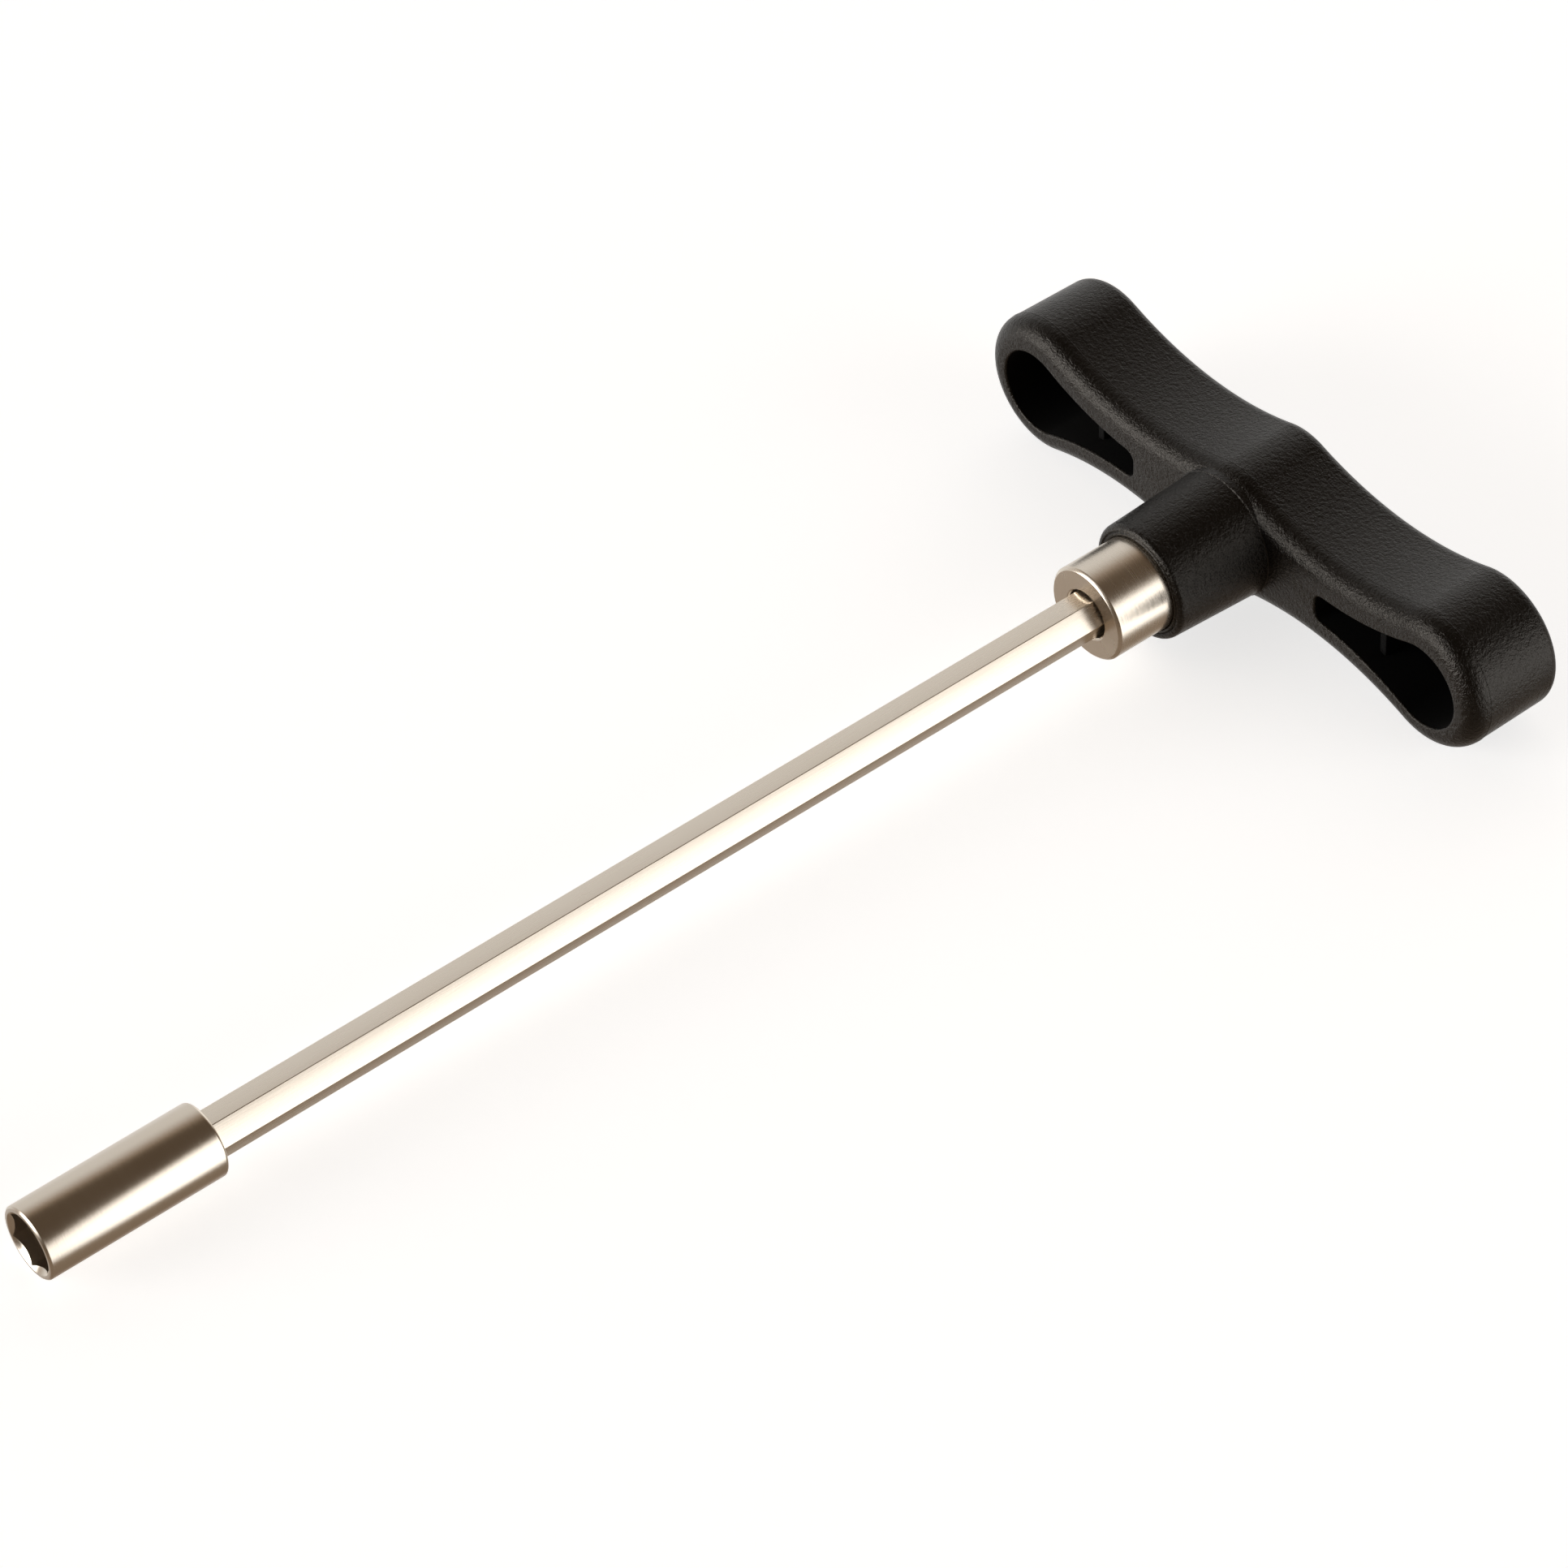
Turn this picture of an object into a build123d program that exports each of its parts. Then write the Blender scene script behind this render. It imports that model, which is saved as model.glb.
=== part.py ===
"""T-handle socket wrench: moulded handle, steel collar, hexagon shaft and socket.

Millimetres. The shaft axis is Y, the socket mouth is at y = 0 and faces -Y, the handle
wings run along X, and +Z is up. The origin is the centre of the socket mouth.
"""
import os
from math import hypot, sqrt

from build123d import *

# Socket
DRIVE_ACROSS_FLATS = 8.0
DRIVE_DEPTH = 11.0
DRIVE_TURN = 26.0
SOCKET_RADIUS = 5.6
SOCKET_LENGTH = 28.4
MOUTH_CHAMFER_RADIUS = 4.85
MOUTH_CHAMFER_DEPTH = 0.45
RELIEF_RADIUS = 3.9
RELIEF_END = 16.0
SOCKET_EDGE = 0.35
SHOULDER_EDGE = 0.6

# Hexagon shaft
SHAFT_ACROSS_FLATS = 6.35
SHAFT_TURN = 8.3
SHAFT_EDGE = 0.16
SHAFT_START = 18.0
SHAFT_END = 217.0

# Collar
COLLAR_RADIUS = 7.5
COLLAR_FRONT = 181.8
COLLAR_END = 216.0
COLLAR_CHAMFER = 0.4
COLLAR_HOLE_RADIUS = 3.9
COLLAR_HOLE_DEPTH = 6.0
GROOVE_DEPTH = 0.8
GROOVE_START = 201.0
GROOVE_END = 206.0

# Boss of the handle
BOSS_FRONT = 191.7
BOSS_FRONT_RADIUS = 9.3
BOSS_ROOT_RADIUS = 9.95
BOSS_EDGE = 0.9

# Handle wings
HANDLE_FRONT = 207.8
HANDLE_DEPTH = 16.8
HUB_RADIUS = 10.9
LOBE_CENTRE = 41.6
LOBE_RADIUS = 11.4
WAIST_RADIUS = 52.8
HANDLE_DRAFT = 0.6
FRONT_FILLET = 3.2
BACK_FILLET = 1.7

# Hollow of each wing
POCKET_LOBE_RADIUS = 6.9
POCKET_WAIST = 2.4
POCKET_DROP = 0.45
POCKET_INNER_END = 19.7
POCKET_CORNER = 1.5
POCKET_DEPTH = 12.8
WEB_CENTRE = 30.6
WEB_THICKNESS = 1.3
WEB_SETBACK = 3.35
WEB_HEIGHT = 11.0


def facing_socket(y):
    """Sketch plane across the shaft at y, looking along +Y, with X and Z as its axes."""
    return Plane(origin=(0, y, 0), x_dir=(-1, 0, 0), z_dir=(0, 1, 0))


def round_bar(radius, start, end):
    """Plain round bar along the shaft axis from start to end."""
    return extrude(facing_socket(start) * Circle(radius), end - start)


def hexagon(across_flats, turn, y):
    """Hexagon across the shaft axis at y, turned about the axis by turn degrees."""
    outline = RegularPolygon(across_flats / 2, 6, major_radius=False, rotation=-turn)
    return facing_socket(y) * outline


def hexagon_bar(across_flats, turn, start, end):
    """Hexagon bar along the shaft axis from start to end."""
    return extrude(hexagon(across_flats, turn, start), end - start)


def cone(start, start_radius, end, end_radius):
    """Cone frustum along the shaft axis."""
    lower = facing_socket(start) * Circle(start_radius)
    upper = facing_socket(end) * Circle(end_radius)
    return loft([lower, upper])


def shaft_profile_bar(start, end):
    """Length of the shaft's own section, with its broken edges."""
    bar = hexagon_bar(SHAFT_ACROSS_FLATS, SHAFT_TURN, start, end)
    return chamfer(bar.edges().filter_by(Axis.Y), SHAFT_EDGE)


def make_socket():
    """Round socket with a hexagon drive recess and a seat for the shaft behind it."""
    body = round_bar(SOCKET_RADIUS, 0, SOCKET_LENGTH)
    rims = body.edges().filter_by(GeomType.CIRCLE).sort_by(Axis.Y)
    body = chamfer(rims[0], SOCKET_EDGE)
    rims = body.edges().filter_by(GeomType.CIRCLE).sort_by(Axis.Y)
    body = fillet(rims[-1], SHOULDER_EDGE)
    body -= hexagon_bar(DRIVE_ACROSS_FLATS, DRIVE_TURN, 0, DRIVE_DEPTH)
    body -= cone(0, MOUTH_CHAMFER_RADIUS, 2 * MOUTH_CHAMFER_DEPTH,
                 MOUTH_CHAMFER_RADIUS - 2 * MOUTH_CHAMFER_DEPTH)
    body -= round_bar(RELIEF_RADIUS, DRIVE_DEPTH, RELIEF_END)
    body -= shaft_profile_bar(SHAFT_START, SOCKET_LENGTH)
    return body


def make_shaft():
    """Hexagon shaft from inside the socket to inside the collar."""
    return shaft_profile_bar(SHAFT_START, SHAFT_END)


def make_collar():
    """Turned collar that grips the shaft and is anchored in the moulded boss."""
    body = round_bar(COLLAR_RADIUS, COLLAR_FRONT, COLLAR_END)
    rims = body.edges().filter_by(GeomType.CIRCLE).sort_by(Axis.Y)
    body = chamfer(rims[0], COLLAR_CHAMFER)
    groove = round_bar(COLLAR_RADIUS + 1, GROOVE_START, GROOVE_END)
    groove -= round_bar(COLLAR_RADIUS - GROOVE_DEPTH, GROOVE_START, GROOVE_END)
    body -= groove
    body -= round_bar(COLLAR_HOLE_RADIUS, COLLAR_FRONT, COLLAR_FRONT + COLLAR_HOLE_DEPTH)
    body -= shaft_profile_bar(COLLAR_FRONT, COLLAR_END)
    return body


def arc_between(start, end, centre, radius):
    """Arc about a centre from one point to another, the short way round."""
    middle = ((start[0] + end[0]) / 2, (start[1] + end[1]) / 2)
    lean = hypot(middle[0] - centre[0], middle[1] - centre[1])
    middle = tuple(c + (m - c) * radius / lean for m, c in zip(middle, centre))
    return ThreePointArc(start, middle, end)


def wing_outline():
    """Dog-bone outline across the shaft: two lobes and a hub joined by hollow waists."""
    hub_gap = HUB_RADIUS + WAIST_RADIUS
    lobe_gap = LOBE_RADIUS + WAIST_RADIUS
    along = (LOBE_CENTRE**2 + hub_gap**2 - lobe_gap**2) / (2 * LOBE_CENTRE)
    above = sqrt(hub_gap**2 - along**2)
    hub_touch = (along * HUB_RADIUS / hub_gap, above * HUB_RADIUS / hub_gap)
    lobe_touch = (LOBE_CENTRE + (along - LOBE_CENTRE) * LOBE_RADIUS / lobe_gap,
                  above * LOBE_RADIUS / lobe_gap)
    edges = []
    for side in (1, -1):
        for turn in (1, -1):
            edges.append(arc_between((side * hub_touch[0], turn * hub_touch[1]),
                                     (side * lobe_touch[0], turn * lobe_touch[1]),
                                     (side * along, turn * above), WAIST_RADIUS))
        edges.append(ThreePointArc((side * lobe_touch[0], lobe_touch[1]),
                                   (side * (LOBE_CENTRE + LOBE_RADIUS), 0),
                                   (side * lobe_touch[0], -lobe_touch[1])))
        edges.append(ThreePointArc((-hub_touch[0], side * hub_touch[1]),
                                   (0, side * HUB_RADIUS),
                                   (hub_touch[0], side * hub_touch[1])))
    return make_face(Wire(edges))


def make_pocket(side):
    """Hollow of one wing, open toward the socket: a round lobe and a slim waist."""
    reach = LOBE_CENTRE - POCKET_INNER_END
    gap = POCKET_LOBE_RADIUS - POCKET_WAIST
    above = (reach**2 - gap**2) / (2 * gap)
    waist = above - POCKET_WAIST
    share = POCKET_LOBE_RADIUS / (POCKET_LOBE_RADIUS + waist)
    touch = (side * (LOBE_CENTRE - reach * share), above * share)
    end = side * POCKET_INNER_END
    edges = [arc_between((end, turn * POCKET_WAIST), (touch[0], turn * touch[1]),
                         (end, turn * above), waist) for turn in (1, -1)]
    edges.append(Line((end, POCKET_WAIST), (end, -POCKET_WAIST)))
    edges.append(ThreePointArc(touch, (side * (LOBE_CENTRE + POCKET_LOBE_RADIUS), 0),
                               (touch[0], -touch[1])))
    outline = make_face(Wire(edges))
    inner = outline.vertices().sort_by(Axis.X)
    corners = inner[:2] if side > 0 else inner[-2:]
    outline = Pos(0, -POCKET_DROP) * fillet(corners, POCKET_CORNER)
    return extrude(facing_socket(HANDLE_FRONT) * outline, POCKET_DEPTH)


def make_web(side):
    """Thin web across the hollow of one wing, set back from its rim."""
    start = HANDLE_FRONT + WEB_SETBACK
    depth = HANDLE_DEPTH - WEB_SETBACK - 2
    return Pos(side * WEB_CENTRE, start + depth / 2, 0) * Box(WEB_THICKNESS, depth, WEB_HEIGHT)


def make_handle():
    """Moulded handle: filleted wings, tapered boss, wing hollows and collar seat."""
    wings = extrude(facing_socket(HANDLE_FRONT) * wing_outline(), HANDLE_DEPTH,
                    taper=HANDLE_DRAFT)
    front = wings.faces().sort_by(Axis.Y)[0]
    wings = fillet(front.edges(), FRONT_FILLET)
    back = wings.faces().sort_by(Axis.Y)[-1]
    wings = fillet(back.edges(), BACK_FILLET)
    boss = cone(BOSS_FRONT, BOSS_FRONT_RADIUS, HANDLE_FRONT + 3, BOSS_ROOT_RADIUS)
    boss = fillet(boss.edges().sort_by(Axis.Y)[0], BOSS_EDGE)
    body = wings + boss
    body -= make_pocket(-1) + make_pocket(1)
    body += make_web(-1) + make_web(1)
    seat = round_bar(COLLAR_RADIUS, BOSS_FRONT - 1, COLLAR_END)
    ring = round_bar(COLLAR_RADIUS + 1, GROOVE_START, GROOVE_END)
    ring -= round_bar(COLLAR_RADIUS - GROOVE_DEPTH, GROOVE_START, GROOVE_END)
    body -= seat - ring
    body -= shaft_profile_bar(COLLAR_END, SHAFT_END)
    return body


os.makedirs("parts", exist_ok=True)
export_step(make_socket(), "parts/socket.step")
export_step(make_shaft(), "parts/shaft.step")
export_step(make_collar(), "parts/collar.step")
export_step(make_handle(), "parts/handle.step")
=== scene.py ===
"""Looks for the T-handle socket wrench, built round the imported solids. Metres, +Z up.

The shaft axis is Y, the socket mouth faces -Y and the handle wings run along X.
"""
import math

import bmesh
import bpy
import numpy as np
from mathutils import Matrix, Vector


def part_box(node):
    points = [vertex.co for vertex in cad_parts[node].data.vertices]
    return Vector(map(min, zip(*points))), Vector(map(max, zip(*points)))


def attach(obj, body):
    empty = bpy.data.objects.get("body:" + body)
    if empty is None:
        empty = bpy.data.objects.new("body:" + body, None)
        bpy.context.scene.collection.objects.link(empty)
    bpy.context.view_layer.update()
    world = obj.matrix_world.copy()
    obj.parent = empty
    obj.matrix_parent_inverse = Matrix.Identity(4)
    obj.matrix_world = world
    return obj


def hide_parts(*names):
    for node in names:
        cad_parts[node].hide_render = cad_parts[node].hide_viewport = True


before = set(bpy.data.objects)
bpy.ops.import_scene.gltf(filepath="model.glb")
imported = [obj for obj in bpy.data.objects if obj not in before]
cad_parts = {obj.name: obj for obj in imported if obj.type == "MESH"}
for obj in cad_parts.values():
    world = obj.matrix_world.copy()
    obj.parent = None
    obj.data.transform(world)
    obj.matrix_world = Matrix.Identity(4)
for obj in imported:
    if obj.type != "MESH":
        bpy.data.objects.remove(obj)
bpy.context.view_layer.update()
COLLECTION = bpy.context.scene.collection
MM = 0.001


def span(node, axis):
    """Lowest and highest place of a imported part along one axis, in millimetres."""
    low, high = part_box(node)
    return low[axis] / MM, high[axis] / MM


# Sizes in millimetres and turns in degrees; the parts' own boxes give the main sizes
SKIN = 0.01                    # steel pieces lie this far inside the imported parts
WING_SKIN = 0.06               # and the moulded wings this far
QUARTER = math.pi / 2

MOUTH, SOCKET_END = span("socket", 1)
SOCKET_RADIUS = span("socket", 0)[1] - SKIN
SOCKET_SHOULDER = 0.6
MOUTH_CHAMFER = (0.40, 4.36)   # how deep it reaches, and its radius there
DRIVE_ACROSS_FLATS = 8.0
DRIVE_DEPTH = 11.0
DRIVE_TURN = 26.0
DRIVE_CORNER = 0.05
RELIEF_RADIUS = 3.9            # round clearance behind the hexagon recess
RELIEF_START, RELIEF_END = 0.75, 16.0

SHAFT_START, SHAFT_END = span("shaft", 1)
SHAFT_ACROSS_FLATS = 6.35
SHAFT_TURN = 8.3
SHAFT_CORNER = 0.2

COLLAR_FRONT, COLLAR_END = span("collar", 1)
COLLAR_RADIUS = span("collar", 0)[1] - SKIN
COLLAR_HOLE = 3.9
COLLAR_HOLE_DEPTH = 6.0
COLLAR_GAP = 0.06              # between the collar and its seat in the boss

BOSS_FRONT, HANDLE_BACK = span("handle", 1)
BOSS_FRONT_RADIUS = 9.28
BOSS_ROOT_RADIUS = 9.93
BOSS_EDGE = 0.9
BOSS_ROOT_DEPTH = 2.9          # how far the boss runs on inside the wings
HANDLE_DEPTH = 16.8
HANDLE_FRONT = HANDLE_BACK - HANDLE_DEPTH
HUB_RADIUS = 10.9
LOBE_CENTRE = 41.6
LOBE_RADIUS = 11.4
WAIST_RADIUS = 52.8
DRAFT = math.tan(math.radians(0.6))
FRONT_FILLET = 3.2
BACK_FILLET = 1.7
PARTING_LINE = 3.35
PARTING_RIDGE = 0.035
PARTING_STEP = 0.03            # the back half of the mould is this much smaller

POCKET_LOBE_RADIUS = 6.9
POCKET_WAIST = 2.4
POCKET_DROP = 0.45             # hollows sit this far below the shaft axis
POCKET_INNER_END = 19.7
POCKET_CORNER = 1.5
POCKET_DEPTH = 12.8
POCKET_RIM = 0.35
POCKET_FLOOR_ROUND = 0.7
POCKET_DRAFT = 0.1
WEB_CENTRE = 30.6
WEB_THICKNESS = 1.3
WEB_SETBACK = 3.35
WEB_REACH = 5.6                # past the hollow's walls, above and below


# ---------------------------------------------------------------- nodes

def fill(tree, socket, value):
    """Links a socket to another, or sets its value."""
    if isinstance(value, Socket):
        tree.links.new(value.socket, socket)
    elif hasattr(value, "__len__") and hasattr(socket.default_value, "__len__"):
        wanted = len(socket.default_value)
        socket.default_value = (list(value) + [1.0])[:wanted]
    else:
        socket.default_value = value


def add_node(tree, kind, settings=None, out=0, **sockets):
    """Adds a node, sets its settings and then its sockets, by name or as in0, in1...

    out picks the output that is returned, by number or name.
    """
    node = tree.nodes.new(kind)
    for name, value in (settings or {}).items():
        setattr(node, name, value)
    for name, value in sockets.items():
        key = int(name[2:]) if name[:2] == "in" and name[2:].isdigit() else name.replace("_", " ")
        fill(tree, node.inputs[key], value)
    return Socket(tree, node.outputs[out])


class Socket:
    """A node's output; Python expressions on it add Math nodes."""

    def __init__(self, tree, socket):
        self.tree = tree
        self.socket = socket

    def maths(self, operation, a, b=0.0):
        return add_node(self.tree, "ShaderNodeMath", {"operation": operation}, 0, in0=a, in1=b)

    def __add__(self, other):
        return self.maths("ADD", self, other)

    __radd__ = __add__

    def __sub__(self, other):
        return self.maths("SUBTRACT", self, other)

    def __rsub__(self, other):
        return self.maths("SUBTRACT", other, self)

    def __mul__(self, other):
        return self.maths("MULTIPLY", self, other)

    __rmul__ = __mul__

    def ramp(self, low, high, start=0.0, end=1.0):
        """Eases from start to end while this value goes from low to high."""
        return add_node(self.tree, "ShaderNodeMapRange", {"interpolation_type": "SMOOTHSTEP"}, 0,
                        Value=self, From_Min=low, From_Max=high, To_Min=start, To_Max=end)


def mix_colours(tree, amount, a, b):
    return add_node(tree, "ShaderNodeMix", {"data_type": "RGBA"}, 2, in0=amount, in6=a, in7=b)


def split(tree, vector):
    parts = add_node(tree, "ShaderNodeSeparateXYZ", in0=vector).socket.node
    return [Socket(tree, output) for output in parts.outputs]


class Finish:
    """A Principled material being built on Object coordinates."""

    def __init__(self, name, **plain):
        self.material = bpy.data.materials.new(name)
        self.material.use_nodes = True
        self.tree = self.material.node_tree
        self.shader = self.tree.nodes["Principled BSDF"]
        self.set(**plain)
        self.where = self.add("ShaderNodeTexCoord", out="Object")

    def add(self, kind, settings=None, out=0, **sockets):
        return add_node(self.tree, kind, settings, out, **sockets)

    def set(self, **sockets):
        for name, value in sockets.items():
            fill(self.tree, self.shader.inputs[name.replace("_", " ")], value)

    def noise(self, scale, detail=2.0, roughness=0.5, stretch=None):
        where = self.where
        if stretch:
            where = self.add("ShaderNodeMapping", Vector=where, Scale=stretch)
        return self.add("ShaderNodeTexNoise", Vector=where, Scale=scale, Detail=detail,
                        Roughness=roughness)

    def cells(self, scale, out="Distance"):
        return self.add("ShaderNodeTexVoronoi", out=out, Vector=self.where, Scale=scale)

    def mix(self, amount, a, b):
        return mix_colours(self.tree, amount, a, b)

    def bump(self, height, distance, strength=1.0, under=None):
        sockets = {"Height": height, "Strength": strength, "Distance": distance}
        if under is not None:
            sockets["Normal"] = under
        return self.add("ShaderNodeBump", **sockets)

    def flecks(self, spacing, low, high, patches, start, end):
        """Small round flecks, in patches only; spacing and patches are noise scales."""
        dots = self.cells(spacing).ramp(low, high, 1.0, 0.0)
        return dots * self.noise(patches).ramp(start, end)


# ---------------------------------------------------------------- finishes

def moulded_plastic():
    """Black moulded plastic with a fine eroded grain and the odd pale speck."""
    f = Finish("moulded_plastic", IOR=1.44, Specular_Tint=(1.0, 0.93, 0.85, 1.0))
    fine = f.noise(4200.0, 2.0, 0.6)
    grain = f.noise(1700.0, 2.0, 0.55)
    flow = f.noise(70.0, 3.0, 0.5)
    handled = f.noise(160.0, 2.0, 0.5)
    specks = f.flecks(420.0, 0.05, 0.10, 90.0, 0.60, 0.70)
    black = f.mix(flow, (0.0016, 0.0013, 0.0011), (0.0028, 0.0023, 0.0019))
    f.set(Base_Color=f.mix(specks * 0.5, black, (0.030, 0.027, 0.024)))
    f.set(Roughness=0.20 + 0.10 * flow + 0.07 * handled)
    grain_depth, flow_depth = 0.00026, 0.00025
    pits = f.bump(grain * 0.6 + fine * 0.4, grain_depth)
    f.set(Normal=f.bump(flow, flow_depth, 0.35, pits))
    return f.material


def shaded_hollow_plastic():
    """The same plastic inside the hollows, painted darker as shade, with less gloss and more
    roughness so the hollows read black.
    """
    f = Finish("shaded_hollow_plastic", IOR=1.3)
    mould = f.noise(900.0, 3.0, 0.6)
    # painted shade: the colour inside the hollows is set far darker than the outer plastic's
    f.set(Base_Color=f.mix(mould, (0.0006, 0.0005, 0.0005), (0.0014, 0.0012, 0.0010)))
    mould_depth = 0.00006
    f.set(Roughness=0.72 + 0.2 * mould, Normal=f.bump(mould, mould_depth, 0.6))
    return f.material


def nickel_plate(name, light, dark, gloss, lines, grain_strength):
    """Warm nickel plate; lines is the stretch that turns noise into tool marks."""
    f = Finish(name, Metallic=1.0)
    cloud = f.noise(110.0, 3.0, 0.55)
    marks = f.noise(1.0, 3.0, 0.65, stretch=lines)
    bloom = f.noise(1500.0, 2.0, 0.6)
    nicks = f.flecks(300.0, 0.04, 0.08, 140.0, 0.62, 0.70)
    plate = f.mix(cloud * 0.7 + marks * 0.3, dark, light)
    f.set(Base_Color=f.mix(nicks * 0.5, plate, (0.30, 0.22, 0.15)))
    f.set(Roughness=gloss + 0.09 * marks + 0.06 * cloud + 0.15 * nicks)
    mark_depth = 0.00002
    f.set(Normal=f.bump(marks * 0.6 + bloom * 0.4 - 0.6 * nicks, mark_depth, grain_strength))
    return f.material


# ---------------------------------------------------------------- meshes

def mesh_object(name, points, faces, edges=()):
    mesh = bpy.data.meshes.new(name)
    mesh.from_pydata([tuple(p) for p in points], list(edges), [tuple(f) for f in faces])
    obj = bpy.data.objects.new(name, mesh)
    COLLECTION.objects.link(obj)
    return obj


def ring_skin(rings):
    """Skin over equal closed rings, with one face on each end."""
    count = len(rings[0])
    points = [p for ring in rings for p in ring]
    faces = [tuple(reversed(range(count))),
             tuple(range((len(rings) - 1) * count, len(rings) * count))]
    for i in range(len(rings) - 1):
        for j in range(count):
            k = (j + 1) % count
            faces.append((i * count + j, i * count + k,
                          (i + 1) * count + k, (i + 1) * count + j))
    return points, faces


def tidy_mesh(obj):
    """Merges doubled points and turns every face outwards."""
    same_place = 2e-7
    bm = bmesh.new()
    bm.from_mesh(obj.data)
    bmesh.ops.remove_doubles(bm, verts=bm.verts, dist=same_place)
    bmesh.ops.dissolve_degenerate(bm, edges=bm.edges, dist=same_place)
    bmesh.ops.recalc_face_normals(bm, faces=bm.faces)
    bm.to_mesh(obj.data)
    bm.free()
    return obj


def settle(obj):
    """Turns what the object's modifiers make into its own plain mesh."""
    bpy.context.view_layer.update()
    graph = bpy.context.evaluated_depsgraph_get()
    mesh = bpy.data.meshes.new_from_object(obj.evaluated_get(graph))
    obj.modifiers.clear()
    old, obj.data = obj.data, mesh
    mesh.name = obj.name
    bpy.data.meshes.remove(old)
    return obj


def combine(obj, other, operation):
    modifier = obj.modifiers.new("combine", "BOOLEAN")
    modifier.operation = operation
    modifier.solver = "EXACT"
    modifier.object = other
    settle(obj)
    bpy.data.objects.remove(other)
    return obj


def hand_over(obj, node, material, crease):
    """Cleans a finished piece and gives it its finish, its body and the part it stands for.

    Edges that turn by more than crease degrees stay sharp.
    """
    tidy_mesh(obj)
    obj.data.shade_smooth()
    obj.data.set_sharp_from_angle(angle=math.radians(crease))
    obj.data.materials.clear()
    obj.data.materials.append(material)
    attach(obj, "root")
    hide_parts(node)


# ---------------------------------------------------------------- geometry node trees

def geometry_tree(name, inputs):
    """Empty geometry tree with a geometry input and output and the named inputs."""
    tree = bpy.data.node_groups.new(name, "GeometryNodeTree")
    tree.interface.new_socket("Geometry", in_out="INPUT", socket_type="NodeSocketGeometry")
    tree.interface.new_socket("Geometry", in_out="OUTPUT", socket_type="NodeSocketGeometry")
    for label, kind in inputs:
        tree.interface.new_socket(label, in_out="INPUT", socket_type=kind)
    entry = tree.nodes.new("NodeGroupInput")
    ports = {output.name: Socket(tree, output) for output in entry.outputs if output.name}
    return tree, ports


def close_tree(tree, geometry, material):
    """Ends a tree in Realize Instances and Set Material."""
    real = add_node(tree, "GeometryNodeRealizeInstances", Geometry=geometry)
    done = add_node(tree, "GeometryNodeSetMaterial", Geometry=real, Material=material)
    leave = tree.nodes.new("NodeGroupOutput")
    tree.links.new(done.socket, leave.inputs[0])


def grow(obj, tree, values):
    """Runs a tree on an object with the named values, and keeps the result as a plain mesh."""
    modifier = obj.modifiers.new(tree.name, "NODES")
    modifier.node_group = tree
    for item in tree.interface.items_tree:
        if item.in_out == "INPUT" and item.name in values:
            modifier[item.identifier] = values[item.name]
    return settle(obj)


def drawn_bar_tree():
    """Hexagon bar drawn along the shaft axis, with slightly rounded corners."""
    number = "NodeSocketFloat"
    tree, ports = geometry_tree("drawn_bar", [
        ("Across Corners", number), ("Corner Radius", number), ("Turn", number),
        ("Start", number), ("End", number), ("Corner Points", "NodeSocketInt"),
        ("Material", "NodeSocketMaterial")])
    outline = add_node(tree, "GeometryNodeCurvePrimitiveCircle", {"mode": "RADIUS"}, 0,
                       Resolution=6, Radius=ports["Across Corners"] * 0.5)
    turn = add_node(tree, "ShaderNodeCombineXYZ", Z=ports["Turn"])
    outline = add_node(tree, "GeometryNodeTransform", Geometry=outline, Rotation=turn)
    outline = add_node(tree, "GeometryNodeFilletCurve", {"mode": "POLY"}, 0, Curve=outline,
                       Radius=ports["Corner Radius"], Count=ports["Corner Points"])
    start = add_node(tree, "ShaderNodeCombineXYZ", Z=ports["Start"])
    end = add_node(tree, "ShaderNodeCombineXYZ", Z=ports["End"])
    path = add_node(tree, "GeometryNodeCurvePrimitiveLine", Start=start, End=end)
    bar = add_node(tree, "GeometryNodeCurveToMesh", Curve=path, Profile_Curve=outline,
                   Fill_Caps=True)
    # the bar is drawn along Z, then laid along Y
    bar = add_node(tree, "GeometryNodeTransform", Geometry=bar,
                   Rotation=(math.radians(-90), 0, 0))
    close_tree(tree, bar, ports["Material"])
    return tree


def turned_tree():
    """Solid turned about the shaft axis from a profile of (distance along, radius) points."""
    tree, ports = geometry_tree("turned_part", [
        ("Sides", "NodeSocketInt"), ("Material", "NodeSocketMaterial")])
    profile = add_node(tree, "GeometryNodeMeshToCurve", Mesh=ports["Geometry"])
    # the profile is swept round a circle so small that it is a point, then stood on Y
    point, merged = 1e-6, 5e-6
    path = add_node(tree, "GeometryNodeCurvePrimitiveCircle", {"mode": "RADIUS"}, 0,
                    Resolution=ports["Sides"], Radius=point)
    part = add_node(tree, "GeometryNodeCurveToMesh", Curve=path, Profile_Curve=profile)
    part = add_node(tree, "GeometryNodeTransform", Geometry=part,
                    Rotation=(math.radians(90), 0, 0))
    part = add_node(tree, "GeometryNodeMergeByDistance", Geometry=part, Distance=merged)
    close_tree(tree, part, ports["Material"])
    return tree


def hexagon_bar(tree, name, across_flats, turn, corner, start, end, material=None):
    """Hexagon bar along Y, as a piece or as the shape of a hexagon hole."""
    bar = mesh_object(name, [(0, 0, 0)], [])
    return tidy_mesh(grow(bar, tree, {
        "Across Corners": across_flats * 2 / math.sqrt(3) * MM, "Corner Radius": corner * MM,
        "Turn": math.radians(-turn), "Start": start * MM, "End": end * MM, "Corner Points": 4,
        "Material": material}))


def turned_part(tree, name, profile, material=None, sides=256):
    """Closed turned solid; profile is (distance along the axis, radius) in mm, axis to axis."""
    points = [(r * MM, y * MM, 0) for y, r in profile]
    edges = [(i, i + 1) for i in range(len(points) - 1)]
    part = mesh_object(name, points, [], edges)
    return tidy_mesh(grow(part, tree, {"Sides": sides, "Material": material}))


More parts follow.
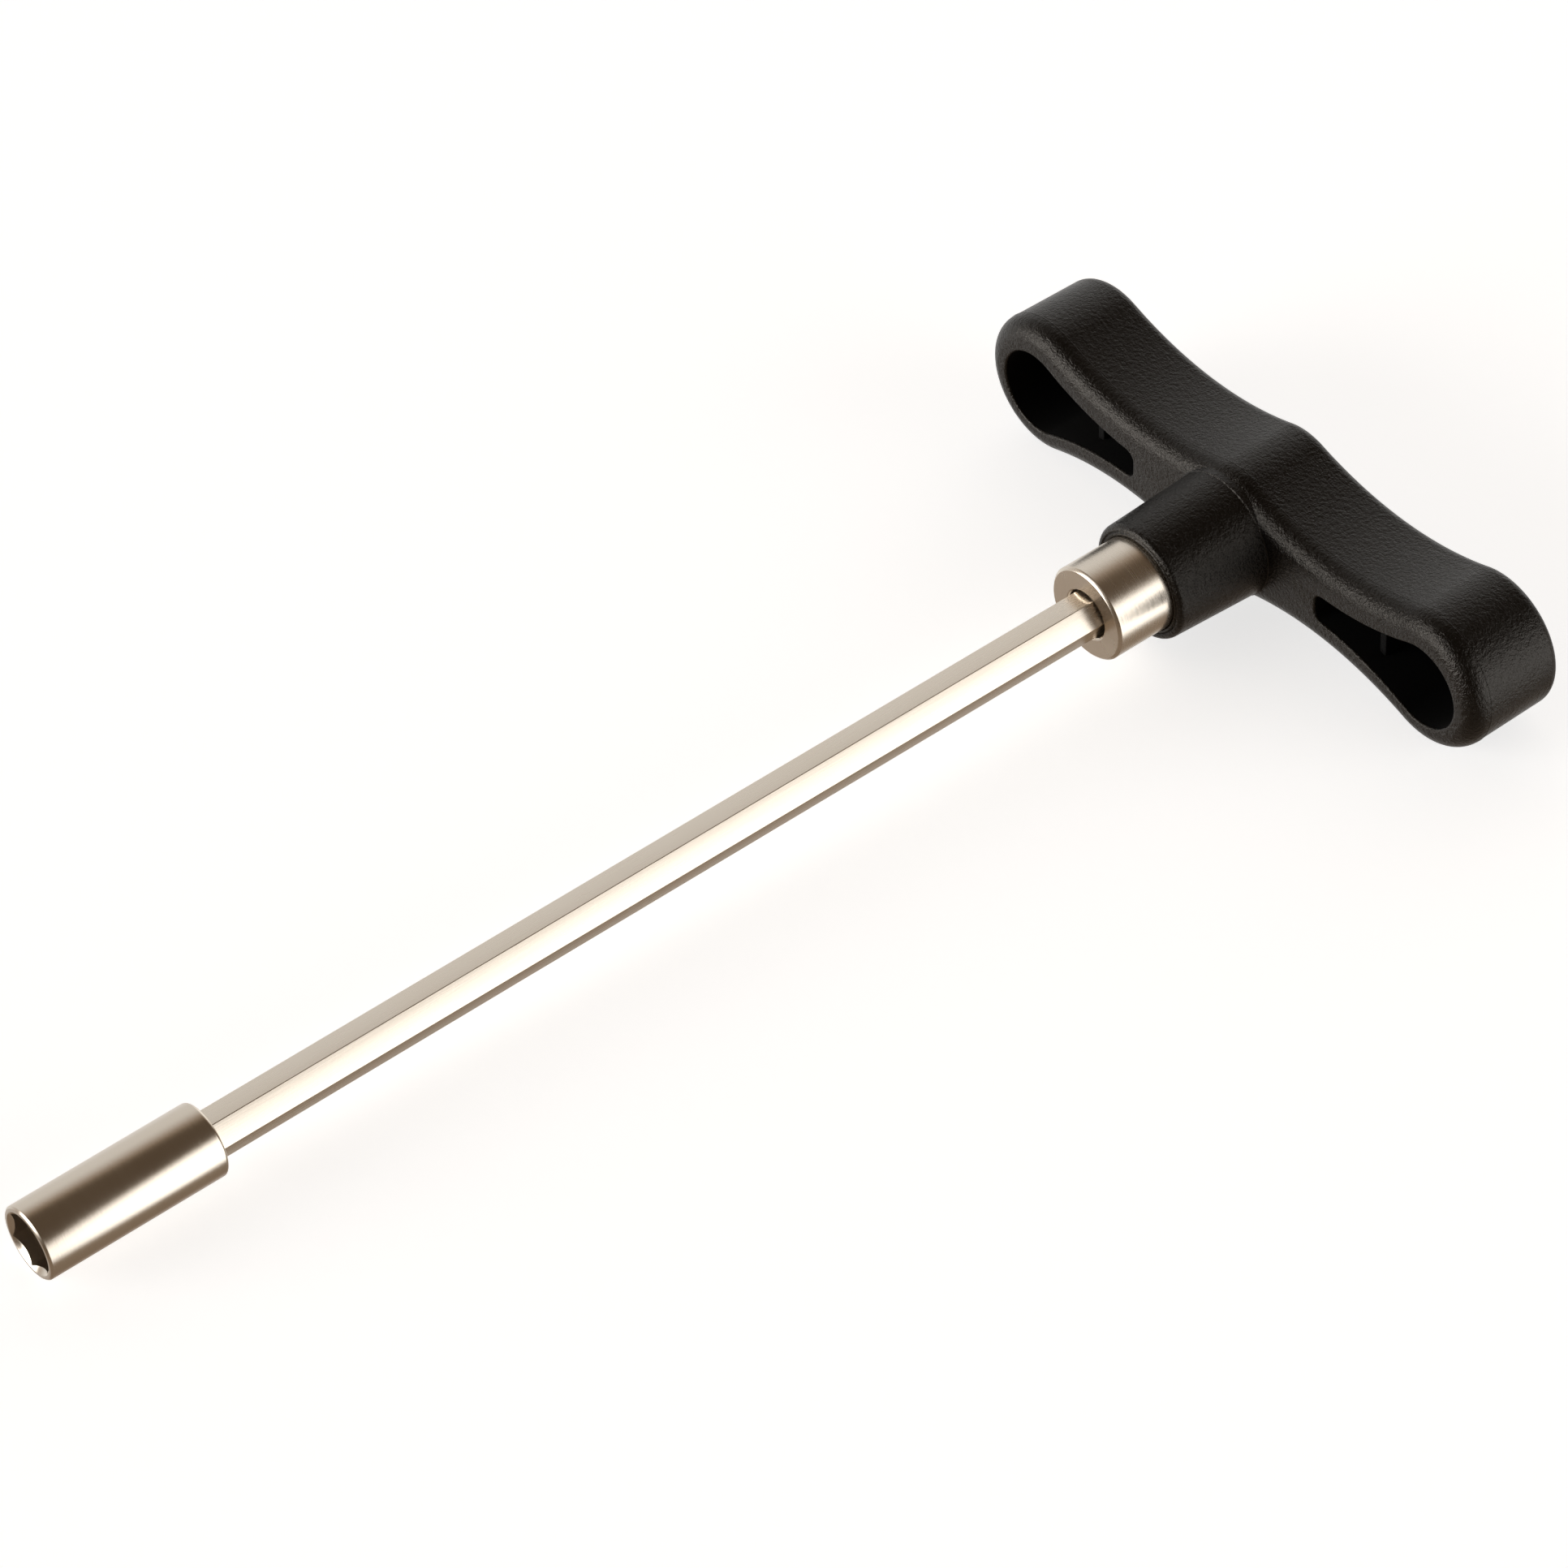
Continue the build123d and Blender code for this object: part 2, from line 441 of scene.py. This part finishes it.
def rounded(along, radius, size, towards_back, steps):
    """Profile points of a rounded outer edge: front edges rise, back edges fall."""
    points = []
    for t in np.linspace(0, QUARTER, steps):
        if towards_back:
            points.append((along - size + size * math.sin(t), radius - size + size * math.cos(t)))
        else:
            points.append((along + size - size * math.cos(t), radius - size + size * math.sin(t)))
    return points


# ---------------------------------------------------------------- handle

def arc_rows(centre, radius, start, end, count, hollow=False):
    """Points of an arc as (x, z, outward x, outward z); hollow arcs bulge inwards."""
    sign = -1 if hollow else 1
    return [(centre[0] + radius * math.cos(t), centre[1] + radius * math.sin(t),
             sign * math.cos(t), sign * math.sin(t))
            for t in np.linspace(start, end, count, endpoint=False)]


def wing_outline():
    """Dog-bone outline of the handle, anticlockwise seen from the socket's end."""
    lobe_points, waist_points, hub_points = 140, 90, 40
    hub_gap = HUB_RADIUS + WAIST_RADIUS
    lobe_gap = LOBE_RADIUS + WAIST_RADIUS
    along = (LOBE_CENTRE**2 + hub_gap**2 - lobe_gap**2) / (2 * LOBE_CENTRE)
    above = math.sqrt(hub_gap**2 - along**2)
    lobe = math.atan2(above, along - LOBE_CENTRE)
    hub = math.atan2(above, along)
    rows = []
    for half in (0, 1):
        turn = half * math.pi
        side = 1 - 2 * half
        rows += arc_rows((side * LOBE_CENTRE, 0), LOBE_RADIUS, turn - lobe, turn + lobe,
                         lobe_points)
        rows += arc_rows((side * along, side * above), WAIST_RADIUS,
                         turn - math.pi + lobe, turn - math.pi + hub, waist_points,
                         hollow=True)
        rows += arc_rows((0, 0), HUB_RADIUS, turn + hub, turn + math.pi - hub, hub_points)
        rows += arc_rows((-side * along, side * above), WAIST_RADIUS,
                         turn - hub, turn - lobe, waist_points, hollow=True)
    return np.array(rows)


def pocket_outline():
    """Outline of the right wing's hollow: round lobe, slim waist, square inner end.

    The waist arcs touch the lobe and run level over the inner end.
    """
    lobe_points, waist_points, corner_points = 90, 50, 12
    reach = LOBE_CENTRE - POCKET_INNER_END
    gap = POCKET_LOBE_RADIUS - POCKET_WAIST
    above = (reach**2 - gap**2) / (2 * gap)
    waist = above - POCKET_WAIST
    lobe = math.atan2(above, -reach)
    corner_x = POCKET_INNER_END + POCKET_CORNER
    corner_z = POCKET_WAIST - POCKET_CORNER
    short = POCKET_CORNER / waist
    rows = arc_rows((LOBE_CENTRE, -POCKET_DROP), POCKET_LOBE_RADIUS, -lobe, lobe, lobe_points)
    rows += arc_rows((POCKET_INNER_END, above - POCKET_DROP), waist,
                     lobe - math.pi, short - QUARTER, waist_points, hollow=True)
    rows += arc_rows((corner_x, corner_z - POCKET_DROP), POCKET_CORNER,
                     QUARTER, math.pi, corner_points)
    rows += arc_rows((corner_x, -corner_z - POCKET_DROP), POCKET_CORNER,
                     math.pi, 3 * QUARTER, corner_points)
    rows += arc_rows((POCKET_INNER_END, -above - POCKET_DROP), waist,
                     QUARTER - short, math.pi - lobe, waist_points, hollow=True)
    return np.array(rows)


def offset_ring(rows, inset, y, side=1):
    """Ring of points in metres, moved inwards by inset; side -1 mirrors it."""
    return [(side * (x - inset * nx) * MM, y * MM, (z - inset * nz) * MM)
            for x, z, nx, nz in rows]


def wing_body():
    """Both wings, with a front fillet, a fine parting line and a smaller back fillet."""
    rows = wing_outline()
    turns = np.linspace(0, QUARTER, 15)
    depth = HANDLE_DEPTH - SKIN
    # (inset, distance behind the front face)
    path = [(FRONT_FILLET * (1 - math.sin(t)), FRONT_FILLET * (1 - math.cos(t)))
            for t in turns]
    path += [(0.0, PARTING_LINE - 0.10), (-PARTING_RIDGE, PARTING_LINE - 0.04),
             (-PARTING_RIDGE, PARTING_LINE + 0.04), (PARTING_STEP, PARTING_LINE + 0.12)]
    path += [(PARTING_STEP + BACK_FILLET * (1 - math.cos(t)),
              depth - BACK_FILLET * (1 - math.sin(t))) for t in turns]
    rings = [offset_ring(rows, inset + WING_SKIN + DRAFT * y, HANDLE_FRONT + y)
             for inset, y in path]
    return tidy_mesh(mesh_object("moulded_handle", *ring_skin(rings)))


def pocket_cutter(side):
    """Shape of one hollow: softly rounded rim, slight draft, rounded floor."""
    rows = pocket_outline()
    clear = -1.0
    path = [(-POCKET_RIM, clear)]
    path += [(-POCKET_RIM * (1 - math.sin(t)), POCKET_RIM * (1 - math.cos(t)))
             for t in np.linspace(0, QUARTER, 7)]
    path += [(POCKET_DRAFT + POCKET_FLOOR_ROUND * (1 - math.cos(t)),
              POCKET_DEPTH - POCKET_FLOOR_ROUND * (1 - math.sin(t)))
             for t in np.linspace(0, QUARTER, 6)]
    rings = [offset_ring(rows, inset, HANDLE_FRONT + y, side) for inset, y in path]
    return tidy_mesh(mesh_object("hollow", *ring_skin(rings)))


def web(side):
    """Thin web across a hollow, thicker toward its root, with an eased front edge."""
    thin = WEB_THICKNESS / 2
    root = POCKET_DEPTH - WEB_SETBACK + 0.8
    # (half thickness, distance behind the web's front edge)
    path = [(thin - 0.25, 0.0), (thin - 0.08, 0.08), (thin, 0.3), (thin + 0.1, root)]
    rings = []
    for half, y in path:
        corners = [(-half, -WEB_REACH), (half, -WEB_REACH), (half, WEB_REACH),
                   (-half, WEB_REACH)]
        rings.append([((side * WEB_CENTRE + x) * MM, (HANDLE_FRONT + WEB_SETBACK + y) * MM,
                       z * MM) for x, z in corners])
    return tidy_mesh(mesh_object("web", *ring_skin(rings)))


def in_hollow(place):
    """Whether a place in millimetres is on the wall or floor of a hollow, below its rim."""
    x, y, z = abs(place.x), place.y - HANDLE_FRONT, abs(place.z + POCKET_DROP)
    slack, waist_slack, waist_widening = 0.3, 1.2, 3.6
    if not POCKET_RIM < y < POCKET_DEPTH + slack or x < POCKET_INNER_END - slack:
        return False
    lobe = math.hypot(x - LOBE_CENTRE, z) < POCKET_LOBE_RADIUS + slack
    blend = max(0.0, x - POCKET_INNER_END) / (LOBE_CENTRE - POCKET_INNER_END)
    waist = x < LOBE_CENTRE and z < POCKET_WAIST + waist_slack + waist_widening * blend
    return lobe or waist


def build_boss(turning):
    """Tapered round boss with a small flare where it meets the wings."""
    front, root = BOSS_FRONT + SKIN, HANDLE_FRONT + BOSS_ROOT_DEPTH
    flare = BOSS_ROOT_RADIUS + 0.2
    profile = [(front, 0.0)] + rounded(front, BOSS_FRONT_RADIUS, BOSS_EDGE, False, 9)
    profile += [(HANDLE_FRONT - 0.3, BOSS_ROOT_RADIUS),
                (HANDLE_FRONT - 0.08, BOSS_ROOT_RADIUS + 0.05),
                (HANDLE_FRONT + 0.05, flare), (root, flare), (root, 0.0)]
    return turned_part(turning, "boss", profile)


def collar_seat(turning):
    """Shape of the collar's seat, with a shallow groove and a soft lip round its mouth."""
    front, bore = BOSS_FRONT + SKIN, COLLAR_RADIUS + COLLAR_GAP
    profile = [(front - 1, 0.0), (front - 1, bore + 0.9), (front + 0.06, bore + 0.85),
               (front + 0.18, bore + 0.68), (front + 0.06, bore + 0.5), (front, bore + 0.4),
               (front + 0.04, bore + 0.16), (front + 0.2, bore), (COLLAR_END, bore),
               (COLLAR_END, 0.0)]
    return turned_part(turning, "seat", profile)


def build_handle(turning, material, hollow_shade_material):
    crease = 28
    body = wing_body()
    combine(body, build_boss(turning), "UNION")
    for side in (-1, 1):
        combine(body, pocket_cutter(side), "DIFFERENCE")
        combine(body, web(side), "UNION")
    combine(body, collar_seat(turning), "DIFFERENCE")
    hand_over(body, "handle", material, crease)
    body.data.materials.append(hollow_shade_material)
    # faces on the hollows' walls and floors take the darker plastic, which is painted shade
    for face in body.data.polygons:
        face.material_index = int(in_hollow(face.center / MM))


# ---------------------------------------------------------------- steel pieces

def build_shaft(drawing, material):
    crease = 11
    bar = hexagon_bar(drawing, "hexagon_bar", SHAFT_ACROSS_FLATS - 2 * SKIN, SHAFT_TURN,
                      SHAFT_CORNER, SHAFT_START + SKIN, SHAFT_END - SKIN, material)
    hand_over(bar, "shaft", material, crease)


def cut_bar_hole(body, drawing, start, end):
    """Cuts the hexagon hole that the shaft sits in."""
    bar = hexagon_bar(drawing, "bar_hole", SHAFT_ACROSS_FLATS, SHAFT_TURN, SHAFT_CORNER,
                      start, end)
    combine(body, bar, "DIFFERENCE")


def build_collar(turning, drawing, material):
    crease = 22
    front, back = COLLAR_FRONT + SKIN, COLLAR_END - SKIN
    hole_end = COLLAR_FRONT + COLLAR_HOLE_DEPTH
    profile = [(hole_end, 0.0), (hole_end, COLLAR_HOLE), (front + 0.25, COLLAR_HOLE),
               (front + 0.06, COLLAR_HOLE + 0.16), (front, COLLAR_HOLE + 0.3),
               (front, COLLAR_RADIUS - 0.46), (front + 0.04, COLLAR_RADIUS - 0.38),
               (front + 0.36, COLLAR_RADIUS - 0.05), (front + 0.44, COLLAR_RADIUS),
               (back, COLLAR_RADIUS), (back, 0.0)]
    body = turned_part(turning, "turned_collar", profile, material)
    cut_bar_hole(body, drawing, COLLAR_FRONT - 1, COLLAR_END + 1)
    hand_over(body, "collar", material, crease)


def build_socket(turning, drawing, material):
    crease = 22
    mouth, back = MOUTH + SKIN, SOCKET_END - SKIN
    depth, radius = MOUTH_CHAMFER
    profile = [(RELIEF_END, 0.0), (RELIEF_END, RELIEF_RADIUS), (RELIEF_START, RELIEF_RADIUS),
               (mouth + depth, radius), (mouth + 0.09, radius + 0.32), (mouth, radius + 0.44)]
    profile += [(mouth, SOCKET_RADIUS - 0.38), (mouth + 0.03, SOCKET_RADIUS - 0.28),
                (mouth + 0.28, SOCKET_RADIUS - 0.03), (mouth + 0.38, SOCKET_RADIUS)]
    profile += rounded(back, SOCKET_RADIUS, SOCKET_SHOULDER, True, 8)
    profile += [(back, 0.0)]
    body = turned_part(turning, "nut_socket", profile, material)
    drive = hexagon_bar(drawing, "drive", DRIVE_ACROSS_FLATS, DRIVE_TURN, DRIVE_CORNER,
                        MOUTH - 1, DRIVE_DEPTH)
    combine(body, drive, "DIFFERENCE")
    cut_bar_hole(body, drawing, SHAFT_START, SOCKET_END + 1)
    hand_over(body, "socket", material, crease)


# ---------------------------------------------------------------- stage

def build_floor():
    """Pale floor that the lobes and the socket both rest on."""
    rest_y, rest_z = HANDLE_FRONT + FRONT_FILLET, -LOBE_RADIUS
    slope = (rest_z + SOCKET_RADIUS) / rest_y
    half, gap = 6.0, 0.1       # metres each way, and millimetres below the pieces
    corners = [(-half, -half), (half, -half), (half, half), (-half, half)]
    points = [(x, y, (-SOCKET_RADIUS - gap) * MM + slope * y) for x, y in corners]
    floor = mesh_object("floor", points, [(0, 1, 2, 3)])
    f = Finish("pale_floor", Roughness=0.9, Emission_Strength=0.72)
    f.set(Base_Color=(0.85, 0.85, 0.85), Emission_Color=(1.0, 1.0, 1.0))
    floor.data.materials.append(f.material)
    # the studio's own lower half stands for the floor in reflections
    floor.visible_glossy = floor.visible_diffuse = floor.visible_shadow = False


def build_light():
    """Soft studio: boxes to the right and at the front, grey walls, a dim floor."""
    room, floor_glow = 0.09, 0.13
    # (strength, azimuth, elevation, full within, gone beyond), in degrees
    boxes = [(1.75, 28, -1, 21, 42),       # wide box on the right
             (5.4, -112, 6, 12, 30),       # box at the front, above the socket's mouth
             (0.60, 152, -6, 32, 82),      # grey wall on the left
             (0.40, 118, 5, 12, 30)]       # lighter patch at the back of that wall
    world = bpy.data.worlds.new("studio")
    bpy.context.scene.world = world
    world.use_nodes = True
    tree = world.node_tree
    x, y, z = split(tree, add_node(tree, "ShaderNodeTexCoord", out="Generated"))

    def softbox(azimuth, elevation, inner, outer):
        """1 within inner degrees of a direction, falling softly to 0 at outer degrees."""
        a, e = math.radians(azimuth), math.radians(elevation)
        towards = (x * (math.cos(a) * math.cos(e)) + y * (math.sin(a) * math.cos(e))
                   + z * math.sin(e))
        return towards.ramp(math.cos(math.radians(outer)), math.cos(math.radians(inner)))

    amount = room
    for strength, *place in boxes:
        amount = amount + strength * softbox(*place)
    amount = amount + floor_glow * z.ramp(0.1, -0.6)
    warm, white = (1.0, 0.72, 0.48), (1.0, 0.985, 0.965)
    colour = mix_colours(tree, amount.ramp(0.05, 0.7), warm, white)
    background = tree.nodes["Background"]
    fill(tree, background.inputs["Color"], colour)
    fill(tree, background.inputs["Strength"], amount)


def build_camera():
    """Long lens, looking down on the tool from its right front."""
    heading, tilt, lean = 53.511, 44.735, 3.218
    where, lens, sensor = (0.486670, -0.233373, 0.601684), 140.951, 36.0
    azimuth, elevation, roll = [math.radians(v) for v in (heading, tilt, lean)]
    right = Vector((math.cos(azimuth), math.sin(azimuth), 0))
    level = Vector((-math.sin(azimuth), math.cos(azimuth), 0))
    forward = level * math.cos(elevation) + Vector((0, 0, -math.sin(elevation)))
    down = forward.cross(right)
    across = right * math.cos(roll) + down * math.sin(roll)
    drop = down * math.cos(roll) - right * math.sin(roll)
    place = Matrix((across, -drop, -forward)).transposed().to_4x4()
    place.translation = Vector(where)
    camera = bpy.data.cameras.new("camera")
    camera.sensor_width = sensor
    camera.lens = lens
    camera.clip_start, camera.clip_end = 0.01, 50.0
    obj = bpy.data.objects.new("camera", camera)
    obj.matrix_world = place
    COLLECTION.objects.link(obj)
    bpy.context.scene.camera = obj


turning, drawing = turned_tree(), drawn_bar_tree()
build_handle(turning, moulded_plastic(), shaded_hollow_plastic())
BRIGHT_NICKEL = (0.90, 0.825, 0.725), (0.83, 0.74, 0.625)
# the socket's nickel colour is set darker than that of the bar and the collar
DARKER_NICKEL = (0.85, 0.77, 0.67), (0.78, 0.69, 0.58)
ALONG_BAR, ROUND_AXIS = (2400, 70, 2400), (130, 2800, 130)
build_shaft(drawing, nickel_plate("nickel_bar", *BRIGHT_NICKEL, 0.20, ALONG_BAR, 0.5))
build_collar(turning, drawing,
             nickel_plate("nickel_collar", *BRIGHT_NICKEL, 0.19, ROUND_AXIS, 0.7))
build_socket(turning, drawing,
             nickel_plate("nickel_socket", *DARKER_NICKEL, 0.15, ROUND_AXIS, 0.6))
build_floor()
build_light()
build_camera()
bpy.context.scene.view_settings.view_transform = "Standard"
bpy.context.view_layer.update()


def plain(box):
    return [[float(v) for v in corner] for corner in box]
